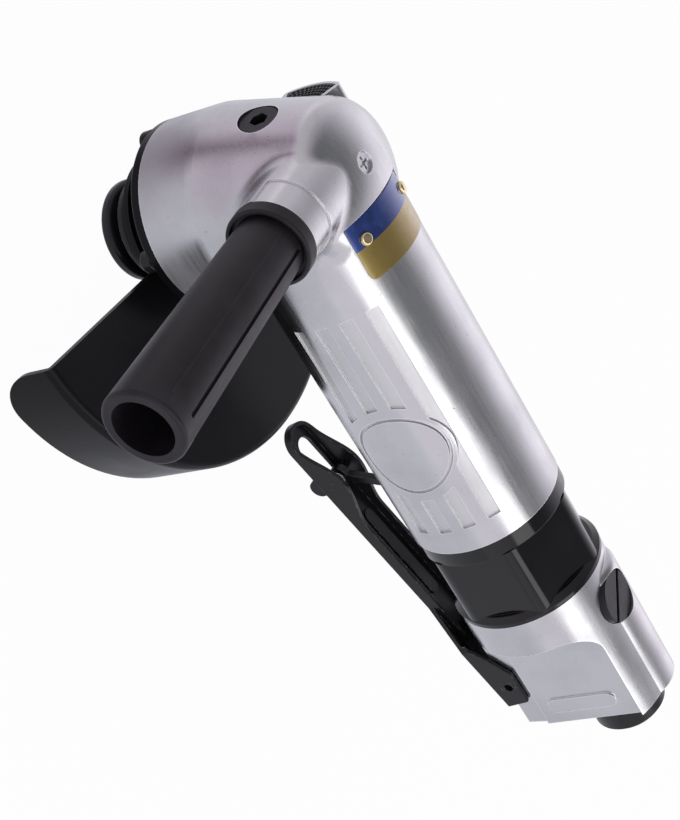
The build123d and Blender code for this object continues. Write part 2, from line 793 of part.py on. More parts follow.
def make_spindle_seal():
    start = -cover_neck_end + cover_lip
    return tube_z(seal_radius, spindle_seal_radius + run_gap, start, start + seal_width)


# Pressed sheet guard over half of the wheel, with a collar round the cover's neck
def make_wheel_guard():
    top = -guard_drop
    bottom = top - guard_depth
    bore = cover_neck_radius + run_gap
    inner = guard_radius - guard_sheet
    outline = Polyline((bore, top), (guard_radius, top), (guard_radius, bottom), (inner, bottom),
                       (inner, top - guard_sheet), (bore, top - guard_sheet), close=True)
    section = make_face(outline)
    outer_bend = section.vertices().group_by(Axis.X)[-1].sort_by(Axis.Y)[-1]
    section = fillet(outer_bend, guard_bend)
    inner_bend = section.vertices().sort_by_distance((inner, top - guard_sheet))[0]
    section = fillet(inner_bend, guard_bend - guard_sheet)
    shell = revolve(Plane.XZ * section, Axis.Z)
    reach = guard_radius + overcut
    shell -= block(-reach, guard_chord, -reach, reach, bottom - overcut, top + overcut)
    for side in (-1, 1):
        far = side * reach
        near = side * guard_web_radius
        low, high = min(near, far), max(near, far)
        corner = block(guard_chord - overcut, guard_chord + guard_corner, low, high,
                       bottom - overcut, bottom + guard_corner)
        corner -= rod_y(guard_corner, low - overcut, high + overcut, guard_chord + guard_corner,
                        bottom + guard_corner)
        shell -= corner
    shell += tube_z(guard_web_radius, bore, top - guard_sheet, top)
    shell += tube_z(bore + guard_collar_wall, bore, top, top + guard_collar_height)
    return Rot(0, 0, guard_turn) * shell


# Split band that grips the guard's collar, drawn with its lugs towards +X
def band_place():
    return Rot(0, 0, guard_turn + band_direction) * Pos(0, 0, -guard_drop)


def band_inner():
    return cover_neck_radius + run_gap + guard_collar_wall + press_gap


def make_guard_band():
    outer = band_inner() + band_wall
    base = (guard_collar_height - band_height) / 2
    band = tube_z(outer, band_inner(), base, base + band_height)
    for side in (-1, 1):
        near = side * band_gap / 2
        far = near + side * band_lug_thickness
        band += block(band_inner() + press_gap, outer + band_lug, min(near, far), max(near, far),
                      base, base + band_height)
    band -= block(0, outer + band_lug + overcut, -band_gap / 2, band_gap / 2, base - overcut,
                  base + band_height + overcut)
    band -= rod_y(band_screw_radius + press_gap, -outer, outer, outer + band_lug / 2,
                  guard_collar_height / 2)
    return band_place() * band


def make_guard_screw():
    half = band_gap / 2 + band_lug_thickness
    x = band_inner() + band_wall + band_lug / 2
    z = guard_collar_height / 2
    screw = rod_y(band_screw_radius, -half - band_screw_head, half, x, z)
    screw += rod_y(band_screw_head_radius - press_gap, half, half + band_screw_head, x, z)
    nut = extrude(RegularPolygon(band_screw_head_radius, 6), band_screw_head)
    screw += Pos(x, -half, z) * Rot(90, 0, 0) * nut
    return band_place() * screw


# Hollow grip with a collar, tightened on a stud in the boss
def make_handle_grip():
    start = -boss_face
    collar = rod_y(handle_collar_radius, -handle_collar_end, start)
    collar = fillet(collar.edges().filter_by(GeomType.CIRCLE), edge_round)
    cup = -handle_collar_end + handle_cup
    collar -= rod_y(handle_collar_radius - handle_cup_wall, -handle_collar_end - overcut, cup)
    outline = [(0, cup), (grip_root_radius, cup), (grip_end_radius, -grip_end), (0, -grip_end)]
    grip = revolve(make_face(Polyline(*outline, close=True)), Axis.Y)
    grip = fillet(grip.edges().filter_by(GeomType.CIRCLE).sort_by(Axis.Y)[0], grip_edge)
    grip += collar
    grip -= rod_y(grip_bore, -grip_end - overcut, -grip_end + grip_bore_depth)
    grip -= rod_y(stud_radius + press_gap, start - stud_in_grip - press_gap, start + overcut)
    lean = math.degrees(math.atan((grip_end_radius - grip_root_radius) / (grip_length + handle_cup)))
    length = grip_length - grip_groove_margin
    middle = -handle_collar_end - length / 2
    share = (cup - middle) / (grip_length + handle_cup)
    reach = grip_root_radius + (grip_end_radius - grip_root_radius) * share
    spot = Pos(0, middle, reach) * Rot(-lean, 0, 0)
    for turn in grip_groove_turns:
        grip -= Rot(0, turn, 0) * spot * Box(grip_groove_width, length, 2 * grip_groove_depth)
    for turn in grip_seam_turns:
        grip += Rot(0, turn, 0) * spot * Box(grip_seam_width, length, 2 * grip_seam_height)
    return Pos(handle_x, 0, handle_z) * grip


def make_handle_stud():
    return rod_y(stud_radius, -boss_face - stud_in_grip, -boss_face + stud_in_boss - press_gap,
                 handle_x, handle_z)


# Vane motor inside the barrel
def make_front_plate():
    plate = tube_x(motor_radius - press_gap, rotor_front_outer + press_gap, motor_front, liner_start)
    return plate


def make_rear_plate():
    pocket = motor_end - rotor_rear_width
    plate = rod_x(motor_radius - press_gap, liner_end, motor_end)
    plate -= rod_x(rotor_rear_outer + press_gap, pocket, motor_end + overcut)
    return plate - rod_x(rotor_tail_radius + move_gap, liner_end - overcut, motor_end)


def make_cylinder_liner():
    liner = rod_x(motor_radius - press_gap, liner_start, liner_end)
    liner -= rod_x(liner_bore, liner_start - overcut, liner_end + overcut, 0, liner_offset)
    for index in range(port_count):
        start = liner_start + port_width / 2 + port_pitch * index
        liner -= arc_band(rotor_radius, motor_radius + overcut, port_angle - port_sweep / 2,
                          port_sweep, start, start + port_width)
    return liner


def vane_spots():
    return [Rot(360 * index / vane_count, 0, 0) for index in range(vane_count)]


def make_rotor():
    nose = inner_cone * math.cos(pinion_angle)
    body = rod_x(rotor_radius, rotor_start, rotor_end)
    floor = rotor_radius - vane_depth - run_gap
    for spot in vane_spots():
        half = vane_thickness / 2 + run_gap
        body -= spot * block(rotor_start - overcut, rotor_end + overcut, -half, half, floor,
                             rotor_radius + overcut)
    body += rod_x(rotor_shaft_radius, pinion_hub_end, rotor_start)
    body += rod_x(pinion_shaft_radius, nose, pinion_hub_end)
    return body + rod_x(rotor_tail_radius, rotor_end, motor_end - press_gap)


def make_rotor_vanes():
    top = rotor_radius - run_gap
    vane = block(rotor_start, rotor_end, -vane_thickness / 2, vane_thickness / 2,
                 rotor_radius - vane_depth, top)
    return Compound([spot * vane for spot in vane_spots()])


# Spacer ring and hexagonal coupling collar between barrel and valve body
def make_spacer_ring():
    return tube_x(spacer_radius, motor_radius + press_gap, barrel_end, spacer_end)


def make_coupling_collar():
    outline = RegularPolygon(collar_flat, collar_flats, major_radius=False, rotation=collar_ridge_angle)
    outline = fillet(outline.vertices(), collar_corner)
    collar = extrude(barrel_plane(collar_end) * outline, collar_width)
    rim = rod_x(collar_radius, collar_end - collar_rim, collar_end)
    collar += chamfer(rim.edges().filter_by(GeomType.CIRCLE).sort_by(Axis.X)[0], collar_rim_slope)
    return collar - rod_x(motor_radius + press_gap, spacer_end - overcut, collar_end + overcut)


def facet_tool(side):
    length = valve_length + overcut
    start = collar_end + facet_setback
    outline = make_face(Polyline((start, facet_top), (start + length, facet_top),
                                 (start + length, -2 * valve_radius), (start, -2 * valve_radius),
                                 close=True))
    corner = outline.vertices().sort_by_distance((start, facet_top))[0]
    slab = extrude(Plane.XZ * fillet(corner, facet_corner), valve_radius)
    slab = Pos(0, -facet_half, 0) * slab
    slab = Pos(0, -facet_half, facet_level) * Rot(-facet_tilt, 0, 0) * Pos(0, facet_half, -facet_level) * slab
    return slab if side < 0 else mirror(slab, about=Plane.XZ)


# Valve body: spigot into the barrel, faceted tail, air ways
def make_valve_body():
    body = rod_x(valve_radius, collar_end, tail_x)
    ridge = rod_x(ridge_radius, collar_end + ridge_setback, tail_x, ridge_y, ridge_z)
    body += fillet(ridge.edges().filter_by(GeomType.CIRCLE).sort_by(Axis.X)[0], ridge_setback)
    for side in (-1, 1):
        body -= facet_tool(side)
        near, far = sorted((side * land_half, side * 2 * valve_radius))
        body -= block(collar_end + facet_setback, tail_x + overcut, near, far,
                      -2 * valve_radius, -land_top)
    body += rod_x(motor_radius - press_gap, motor_end, collar_end)
    body -= rod_x(chamber_radius, motor_end - overcut, motor_end + chamber_depth)
    body -= rod_x(chamber_lane_radius, motor_end, regulator_x)
    body -= rod_x(inlet_lane_radius, plunger_x, tail_x, 0, inlet_z)
    body -= rod_x(inlet_thread_radius + press_gap, tail_x - inlet_thread, tail_x + overcut, 0, inlet_z)
    body -= rod_z(bush_radius + press_gap, -2 * valve_radius, inlet_z, plunger_x)
    top = regulator_top()
    body -= rod_z(regulator_radius + run_gap, top - regulator_length, 2 * valve_radius, regulator_x,
                  regulator_y)
    body -= rod_y(lever_pin_radius + press_gap, -valve_radius, valve_radius, pivot_x, -pivot_drop)
    start = motor_end + chamber_depth + o_ring_setback
    groove = tube_x(motor_radius, motor_radius - 2 * o_ring_radius, start, start + 2 * o_ring_radius)
    body -= groove
    pad = SlotOverall(pad_length, pad_width, rotation=90)
    place = Pos(tail_x - pad_x, 0, pad_z) * Rot(90, 0, 0)
    pad = extrude(place * pad, valve_radius) & pad_band()
    return body + pad


# Thin slab that lies on the facet of the handle side
def pad_band():
    slab = block(collar_end, tail_x, -facet_half - pad_height, -facet_half + pad_height,
                 -valve_radius, valve_radius)
    return (Pos(0, -facet_half, facet_level) * Rot(-facet_tilt, 0, 0)
            * Pos(0, facet_half, -facet_level) * slab)


def make_spigot_o_ring():
    start = motor_end + chamber_depth + o_ring_setback
    return Pos(start + o_ring_radius, 0, 0) * Rot(0, 90, 0) * Torus(
        motor_radius - o_ring_radius, o_ring_radius - press_gap)


def make_inlet_bushing():
    end = tail_x + inlet_collar
    collar = rod_x(inlet_collar_radius, tail_x, end, 0, inlet_z)
    collar = chamfer(collar.edges().filter_by(GeomType.CIRCLE).sort_by(Axis.X)[-1], inlet_edge)
    bushing = collar + rod_x(inlet_thread_radius, tail_x - inlet_thread + press_gap, tail_x, 0, inlet_z)
    bushing -= rod_x(inlet_port_radius, end - inlet_port_depth, end + overcut, 0, inlet_z)
    return bushing - rod_x(inlet_lane_radius, tail_x - 2 * inlet_thread, end, 0, inlet_z)


# Round perforated screen at the bottom of the inlet port
def make_inlet_screen():
    start = tail_x + inlet_collar - inlet_port_depth - screen_thickness
    screen = rod_x(inlet_lane_radius - press_gap, start, start + screen_thickness, 0, inlet_z)
    holes = []
    for ring, count in enumerate(screen_rings):
        for index in range(max(count, 1)):
            turn = 2 * math.pi * index / max(count, 1)
            reach = screen_ring_step * ring
            holes.append(rod_x(screen_hole_radius, start - overcut, start + screen_thickness + overcut,
                               reach * math.cos(turn), inlet_z + reach * math.sin(turn)))
    return screen - holes


def regulator_top():
    reach = ridge_radius ** 2 - (regulator_y - ridge_y) ** 2
    return ridge_z + math.sqrt(reach) - regulator_crown


# Slotted plug that turns in the top of the valve body, with its seal ring
def make_regulator_plug():
    top = regulator_top()
    plug = rod_z(regulator_radius, top - regulator_length + move_gap, top)
    plug = fillet(plug.edges().group_by(Axis.Z)[-1], regulator_crown)
    slot = Box(3 * regulator_radius, regulator_slot, 2 * regulator_slot_depth)
    plug -= Pos(0, 0, top) * Rot(0, 0, regulator_slot_angle) * slot
    middle = top - regulator_length / 2
    plug -= tube_z(regulator_radius + overcut, regulator_radius - 2 * regulator_seal,
                   middle - regulator_seal, middle + regulator_seal)
    return Pos(regulator_x, regulator_y, 0) * plug


def make_regulator_o_ring():
    middle = regulator_top() - regulator_length / 2
    ring = Torus(regulator_radius - regulator_seal, regulator_seal - press_gap)
    return Pos(regulator_x, regulator_y, middle) * ring


# Throttle valve over the lever: guide bush, plunger with its disc, return spring
def bush_bottom():
    return -math.sqrt(valve_radius ** 2 - (bush_radius + press_gap) ** 2)


def plunger_bottom():
    slope = math.tan(math.radians(lever_tilt))
    rear_edge = plunger_x - pivot_x + plunger_radius
    drop = (web_drop - lever_sheet) / math.cos(math.radians(lever_tilt))
    return -pivot_drop + rear_edge * slope - drop + move_gap


def make_throttle_bush():
    start = bush_bottom()
    return rod_z(bush_radius, start, start + bush_length, plunger_x) - rod_z(
        plunger_radius + run_gap, start - overcut, start + bush_length + overcut, plunger_x)


def make_throttle_plunger():
    seat = bush_bottom() + bush_length + move_gap
    stem = rod_z(plunger_radius, plunger_bottom(), seat, plunger_x)
    stem = fillet(stem.edges().group_by(Axis.Z)[0], plunger_radius / 2)
    return stem + rod_z(valve_disc_radius, seat, seat + valve_disc, plunger_x)


def make_throttle_spring():
    start = bush_bottom() + bush_length + move_gap + valve_disc
    ring = tube_z(valve_disc_radius, valve_disc_radius - spring_wall, start, inlet_z)
    return Pos(plunger_x, 0, 0) * ring


# Pressed throttle lever: spoon tip with a rim, ears for the lock, channel, yoke and cheeks
def make_throttle_lever():
    tip = -lever_reach
    wide = 2 * cheek_half
    yoke_start = -yoke_length
    top = Spline(*[(x, ear_top(x)) for x in ear_stations()])
    end = yoke_start + flare_length
    side = make_face([Line((tip, web_z), (tip, top.position_at(0).Y)),
                      Line((tip, top.position_at(0).Y), top @ 0), top,
                      Line(top @ 1, (end, web_z + channel_height)),
                      Line((end, web_z + channel_height), (end, web_z)),
                      Line((end, web_z), (tip, web_z))])
    channel = extrude(Plane.XZ * side, lever_half, both=True)
    plan = spoon_plan(0, end + overcut)
    channel = channel & extrude(Plane.XY * plan, 2 * lever_reach, both=True)
    hollow = extrude(Plane.XY.offset(web_z + lever_sheet) * spoon_plan(lever_sheet, yoke_start + wide),
                     2 * lever_reach)
    lever = (channel - hollow) + make_yoke()
    slot_length = web_slot_end - web_slot_start
    slot = extrude(SlotOverall(slot_length, 2 * web_slot_half), lever_sheet + overcut, both=True)
    lever -= Pos(tip + (web_slot_start + web_slot_end) / 2, 0, web_z + lever_sheet / 2) * slot
    bead = extrude(SlotOverall(bead_end - bead_start, bead_width), bead_height)
    lever += Pos(tip + (bead_start + bead_end) / 2, 0, web_z + lever_sheet) * bead
    lever -= rod_y(lock_pin_radius + press_gap, -wide, wide, lock_x, lock_z)
    lever -= rod_y(lever_pin_radius + run_gap, -wide, wide)
    return lever_place * lever


# The ears are highest over the lock's pin and run out smoothly both ways
def ear_stations():
    before = [lock_x - ear_rise * (1 - index / ear_steps) for index in range(ear_steps)]
    return before + [lock_x + ear_fall * index / ear_steps for index in range(ear_steps + 1)]


def ear_top(x):
    reach = ear_rise if x < lock_x else ear_fall
    low = rim_height if x < lock_x else channel_height
    swell = (1 + math.cos(math.pi * (x - lock_x) / reach)) / 2
    return web_z + low + (ear_height - low) * swell


# Plan of the spoon and channel, drawn in from its edge by inset
def spoon_plan(inset, end):
    half = lever_half - inset
    nose = lever_half - lever_reach
    strip = Pos((nose + end) / 2, 0) * Rectangle(end - nose, 2 * half)
    return strip + Pos(nose, 0) * Circle(half)


# Rear of the lever, flared out from the channel to straddle the valve body
def make_yoke():
    inner = cheek_half - lever_sheet
    rise = web_z + flare_height
    top = cheek_rise + overcut
    slant = lever_sheet / 2
    half_points = [(0, web_z), (lever_half, web_z), (cheek_half, rise), (cheek_half, top),
                   (inner, top), (inner, rise + slant), (lever_half - slant, web_z + lever_sheet),
                   (0, web_z + lever_sheet)]
    half_face = make_face(Polyline(*half_points, close=True))
    section = half_face + mirror(half_face, about=Plane.YZ)
    start = -yoke_length
    cross = Plane(origin=(start, 0, 0), x_dir=(0, 1, 0), z_dir=(1, 0, 0))
    yoke = extrude(cross * section, yoke_length + cheek_tail)
    outline = [(start, web_z), (-yoke_web_end, web_z), (-yoke_web_end + flare_height / 2, -cheek_lip),
               (cheek_tail, -cheek_lip), (cheek_tail, cheek_rise / 2), (-cheek_rise, cheek_rise),
               (-cheek_front / 2, cheek_rise / 3), (-cheek_front, rise), (start, web_z + channel_height)]
    yoke = yoke & profile_y(outline, 2 * cheek_half)
    full_points = [(0, web_z), (lever_half, web_z), (cheek_half, rise), (cheek_half, top), (0, top)]
    full_face = make_face(Polyline(*full_points, close=True))
    full = extrude(cross * (full_face + mirror(full_face, about=Plane.YZ)), yoke_length + cheek_tail)
    wall_top = -yoke_web_end + flare_height / 2
    wall = profile_y([(-yoke_web_end - lever_sheet, web_z), (-yoke_web_end, web_z), (wall_top, -cheek_lip),
                      (wall_top - lever_sheet, -cheek_lip)], cheek_half)
    yoke = yoke + (wall & full)
    plan = make_face(Polyline((start, -lever_half), (start, lever_half),
                              (start + flare_length, cheek_half), (cheek_tail, cheek_half),
                              (cheek_tail, -cheek_half), (start + flare_length, -cheek_half),
                              close=True))
    return yoke & extrude(Plane.XY * plan, 2 * web_drop, both=True)


# Hollow pin through the valve body and the lever's cheeks
def make_lever_pin():
    pin = rod_y(lever_pin_radius, -cheek_half, cheek_half)
    return lever_place * (pin - rod_y(lever_pin_bore, -cheek_half - overcut, cheek_half + overcut))


def make_lock_pin():
    return lever_place * rod_y(lock_pin_radius, -lever_half, lever_half, lock_x, lock_z)


# Lock lever: hub on the pin, finger knob below the web, arm towards the barrel
def make_lock_lever():
    hub = rod_y(lock_hub_radius, -lock_half, lock_half)
    knob = rod_y(lock_knob_radius, -lock_half, lock_half, lock_knob_x, -lock_knob_drop)
    tip = rod_y(lock_arm_radius, -lock_half, lock_half, lock_arm_x, lock_arm_rise)
    shank = profile_y([(-lock_arm_radius, 0), (lock_arm_radius, 0),
                       (lock_knob_x + lock_arm_radius, -lock_knob_drop),
                       (lock_knob_x - lock_arm_radius, -lock_knob_drop)], lock_half)
    arm = profile_y([(-lock_arm_radius, 0), (lock_arm_radius, 0),
                     (lock_arm_x + lock_arm_radius, lock_arm_rise),
                     (lock_arm_x - lock_arm_radius, lock_arm_rise)], lock_half)
    lock = hub + knob + tip + shank + arm
    lock -= rod_y(lock_pin_radius + run_gap, -2 * lock_half, 2 * lock_half)
    return lever_place * Pos(lock_x, 0, lock_z) * lock


# Return spring of the lock, wound round its pin beside the lock lever
def make_lock_spring():
    start = lock_half + move_gap + lock_spring_wire / 2
    quarter = 0.25

    def spot(turn):
        angle = 2 * math.pi * turn
        return Vector(lock_spring_radius * math.cos(angle), -start - lock_spring_pitch * turn,
                      lock_spring_radius * math.sin(angle))

    count = round(lock_spring_turns / quarter)
    arcs = [ThreePointArc(spot(quarter * index), spot(quarter * (index + 0.5)), spot(quarter * (index + 1)))
            for index in range(count)]
    path = Wire(arcs)
    wire = sweep(Plane(origin=path @ 0, z_dir=path % 0) * Circle(lock_spring_wire / 2), path=path)
    marks = [spot(lock_spring_turns * index / spring_marks) for index in range(spring_marks + 1)]
    apart = math.ceil(spring_marks / lock_spring_turns / 2)
    gaps = [(marks[high] - marks[low]).length for low in range(spring_marks)
            for high in range(low + apart, spring_marks + 1)]
    print("lock spring gap", round(min(gaps) - lock_spring_wire, 3))
    return lever_place * Pos(lock_x, 0, lock_z) * wire


pieces["motor_housing"] = make_motor_housing()
pieces["exhaust_grille"] = make_exhaust_grille()
pieces["nameplate"] = make_nameplate()
pieces["nameplate_rivets"] = make_nameplate_rivets()
pieces["head_plug"] = make_head_plug()
pieces["top_screw"] = make_top_screw()
pieces["spindle_cover"] = make_spindle_cover()
pieces["cover_screws"] = make_cover_screws()
pieces["spindle_seal"] = make_spindle_seal()
pieces["side_handle_grip"] = make_handle_grip()
pieces["handle_stud"] = make_handle_stud()
pieces["front_end_plate"] = make_front_plate()
pieces["rear_end_plate"] = make_rear_plate()
pieces["cylinder_liner"] = make_cylinder_liner()
pieces["rotor"] = make_rotor()
pieces["rotor_vanes"] = make_rotor_vanes()
pieces["drive_pinion"] = make_drive_pinion()
pieces["bevel_gear"] = make_bevel_gear()
pieces["spindle"] = make_spindle()
pieces["inner_flange"] = make_inner_flange()
pieces["flange_nut"] = make_flange_nut()
pieces["wheel_guard"] = make_wheel_guard()
pieces["guard_band"] = make_guard_band()
pieces["guard_band_screw"] = make_guard_screw()
pieces["spacer_ring"] = make_spacer_ring()
pieces["coupling_collar"] = make_coupling_collar()
pieces["valve_body"] = make_valve_body()
pieces["spigot_o_ring"] = make_spigot_o_ring()
pieces["inlet_bushing"] = make_inlet_bushing()
pieces["inlet_screen"] = make_inlet_screen()
pieces["regulator_plug"] = make_regulator_plug()
pieces["regulator_o_ring"] = make_regulator_o_ring()
pieces["throttle_bush"] = make_throttle_bush()
pieces["throttle_plunger"] = make_throttle_plunger()
pieces["throttle_spring"] = make_throttle_spring()
pieces["throttle_lever"] = make_throttle_lever()
pieces["lever_pin"] = make_lever_pin()
pieces["lock_lever"] = make_lock_lever()
pieces["lock_pin"] = make_lock_pin()
pieces["lock_spring"] = make_lock_spring()
add_bearing("spindle_top", spindle_top_radius, spindle_top_outer, spindle_top_width,
            Pos(0, 0, spindle_top_bearing))
add_bearing("spindle_low", spindle_bearing_radius, spindle_low_outer, spindle_low_width,
            Pos(0, 0, low_bearing_z))
add_bearing("rotor_front", rotor_shaft_radius, rotor_front_outer, rotor_front_width,
            Pos(motor_front, 0, 0) * Rot(0, 90, 0))
add_bearing("rotor_rear", rotor_tail_radius, rotor_rear_outer, rotor_rear_width,
            Pos(motor_end - rotor_rear_width, 0, 0) * Rot(0, 90, 0))

os.makedirs("parts", exist_ok=True)
for name, shape in pieces.items():
    export_step(Pos(0, 0, -seat_z) * shape, f"parts/{name}.step")
print(len(pieces), "pieces, wheel seat", round(-seat_z, 2), "below the barrel axis")
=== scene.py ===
import bmesh
import bpy
from mathutils import Matrix, Vector


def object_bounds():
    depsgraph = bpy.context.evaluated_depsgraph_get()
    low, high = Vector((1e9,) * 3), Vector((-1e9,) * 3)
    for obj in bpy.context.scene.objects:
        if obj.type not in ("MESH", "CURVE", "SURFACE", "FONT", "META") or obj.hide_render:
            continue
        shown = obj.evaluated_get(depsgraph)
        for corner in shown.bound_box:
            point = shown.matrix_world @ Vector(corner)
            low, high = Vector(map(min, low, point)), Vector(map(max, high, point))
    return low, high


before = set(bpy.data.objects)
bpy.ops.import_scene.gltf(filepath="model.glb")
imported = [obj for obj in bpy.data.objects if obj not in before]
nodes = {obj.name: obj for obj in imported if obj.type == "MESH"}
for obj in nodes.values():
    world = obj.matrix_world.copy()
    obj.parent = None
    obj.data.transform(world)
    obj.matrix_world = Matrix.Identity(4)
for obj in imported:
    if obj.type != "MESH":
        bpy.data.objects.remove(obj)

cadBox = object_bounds()
scene = bpy.context.scene
scene.view_settings.view_transform = "Standard"
print("frame loaded:", len(nodes), "nodes")

white = (1.0, 1.0, 1.0)
grainMiddle = (0.3, 0.7)  # most of a noise lies between these
edgeTurn = (0.97, 0.80)  # cosine where wear on an edge starts and where it is full
edgeSamples = 4


def startFinish(name, look, metallic, **sockets):
    finish = bpy.data.materials.new(name)
    finish.use_nodes = True
    tree = finish.node_tree
    shader = tree.nodes["Principled BSDF"]
    shader.inputs["Base Color"].default_value = (*look["colour"], 1)
    shader.inputs["Metallic"].default_value = metallic
    shader.inputs["Roughness"].default_value = look["rough"][0]
    for socket, value in sockets.items():
        shader.inputs[socket.replace("_", " ")].default_value = value
    return finish, tree, shader


def addNode(tree, kind, **values):
    node = tree.nodes.new(kind)
    for name, value in values.items():
        setattr(node, name, value)
    return node


def calc(tree, operation, *values):
    node = addNode(tree, "ShaderNodeMath", operation=operation)
    for slot, value in enumerate(values):
        if isinstance(value, (int, float)):
            node.inputs[slot].default_value = value
        else:
            tree.links.new(value, node.inputs[slot])
    return node.outputs[0]


def objectPoint(tree, stretch=(1, 1, 1), shift=(0, 0, 0)):
    point = addNode(tree, "ShaderNodeTexCoord")
    place = addNode(tree, "ShaderNodeMapping")
    place.inputs["Location"].default_value = shift
    place.inputs["Scale"].default_value = stretch
    tree.links.new(point.outputs["Object"], place.inputs["Vector"])
    return place.outputs["Vector"]


def splitPoint(tree, shift=(0, 0, 0)):
    part = addNode(tree, "ShaderNodeSeparateXYZ")
    tree.links.new(objectPoint(tree, shift=shift), part.inputs[0])
    return part.outputs


# a grain in a dictionary is scale, detail and roughness
def grain(tree, scale, detail, rough, stretch=(1, 1, 1)):
    noise = addNode(tree, "ShaderNodeTexNoise")
    noise.inputs["Scale"].default_value = scale
    noise.inputs["Detail"].default_value = detail
    noise.inputs["Roughness"].default_value = rough
    tree.links.new(objectPoint(tree, stretch), noise.inputs["Vector"])
    return noise.outputs["Fac"]


def spread(tree, source, low, high, outLow=0.0, outHigh=1.0):
    ranged = addNode(tree, "ShaderNodeMapRange", clamp=True)
    for name, value in (("From Min", low), ("From Max", high), ("To Min", outLow), ("To Max", outHigh)):
        ranged.inputs[name].default_value = value
    tree.links.new(source, ranged.inputs["Value"])
    return ranged.outputs["Result"]


def within(tree, value, low, high):
    above = calc(tree, "GREATER_THAN", value, low)
    return calc(tree, "MULTIPLY", above, calc(tree, "LESS_THAN", value, high))


def tint(tree, share, first, second):
    mix = addNode(tree, "ShaderNodeMix", data_type="RGBA")
    for slot, value in ((6, first), (7, second)):  # the node's two colour sockets
        if isinstance(value, tuple):
            mix.inputs[slot].default_value = (*value, 1)
        else:
            tree.links.new(value, mix.inputs[slot])
    tree.links.new(share, mix.inputs[0])
    return mix.outputs[2]


def softNormal(tree, radius):
    edge = addNode(tree, "ShaderNodeBevel", samples=edgeSamples)
    edge.inputs["Radius"].default_value = radius
    return edge.outputs["Normal"]


def edgeMask(tree, radius):
    plain = addNode(tree, "ShaderNodeNewGeometry")
    dot = addNode(tree, "ShaderNodeVectorMath", operation="DOT_PRODUCT")
    tree.links.new(softNormal(tree, radius), dot.inputs[0])
    tree.links.new(plain.outputs["Normal"], dot.inputs[1])
    return spread(tree, dot.outputs["Value"], *edgeTurn)


# a bump in a dictionary is strength, depth and edge radius
def addBump(tree, shader, height, strength, depth, radius):
    bump = addNode(tree, "ShaderNodeBump")
    bump.inputs["Strength"].default_value = strength
    bump.inputs["Distance"].default_value = depth
    tree.links.new(height, bump.inputs["Height"])
    tree.links.new(softNormal(tree, radius), bump.inputs["Normal"])
    tree.links.new(bump.outputs["Normal"], shader.inputs["Normal"])


def dress(finish, *names):
    for name in names:
        slots = nodes[name].data.materials
        slots.clear()
        slots.append(finish)


# camera
shot = {
    "place": (-0.1848, -0.3843, 0.3633),
    "right": (0.4724, 0.3764, 0.7970),
    "down": (0.7519, -0.6438, -0.1416),
    "ahead": (0.4598, 0.6662, -0.5872),
    "lens": 78.7,
    "sensor": 36.0,  # across the long side of the picture
    "clip": (0.01, 20),
}


def aimCamera():
    data = bpy.data.cameras.new("shotCamera")
    data.lens = shot["lens"]
    data.sensor_width = shot["sensor"]
    data.clip_start, data.clip_end = shot["clip"]
    camera = bpy.data.objects.new("shotCamera", data)
    scene.collection.objects.link(camera)
    right, up, back = Vector(shot["right"]), -Vector(shot["down"]), -Vector(shot["ahead"])
    turn = Matrix((right, up, back)).transposed().to_quaternion().to_matrix().to_4x4()
    camera.matrix_world = Matrix.Translation(shot["place"]) @ turn
    scene.camera = camera


aimCamera()
print("camera aimed")

# soft light
studio = {
    "centre": (0.08, 0.0, 0.04),
    "keyFrom": (0.44, -0.55, 0.74), "keyAway": 0.9, "keySize": (1.6, 0.32), "keyPower": 2.9,
    "fillFrom": (0.65, 0.73, 0.20), "fillFade": (0.65, 1.0), "fillGain": 1.55,  # brighter behind the tool
    "shadeFade": (-0.7, -0.1), "shadeKeep": 0.78,  # darker in front of the head
    "sky": ((0.0, (0.93, 0.90, 0.97)), (0.40, (0.86, 0.82, 0.90)), (0.68, (0.52, 0.50, 0.55)),
            (0.82, (0.22, 0.225, 0.235)), (1.0, (0.17, 0.175, 0.185))),  # height of the direction, colour
}


def hangKey():
    data = bpy.data.lights.new("keySoftbox", "AREA")
    data.shape = "RECTANGLE"
    data.size, data.size_y = studio["keySize"]
    data.energy = studio["keyPower"]
    lamp = bpy.data.objects.new("keySoftbox", data)
    scene.collection.objects.link(lamp)
    centre = Vector(studio["centre"])
    place = centre + Vector(studio["keyFrom"]).normalized() * studio["keyAway"]
    turn = (centre - place).to_track_quat("-Z", "Y").to_matrix().to_4x4()
    lamp.matrix_world = Matrix.Translation(place) @ turn


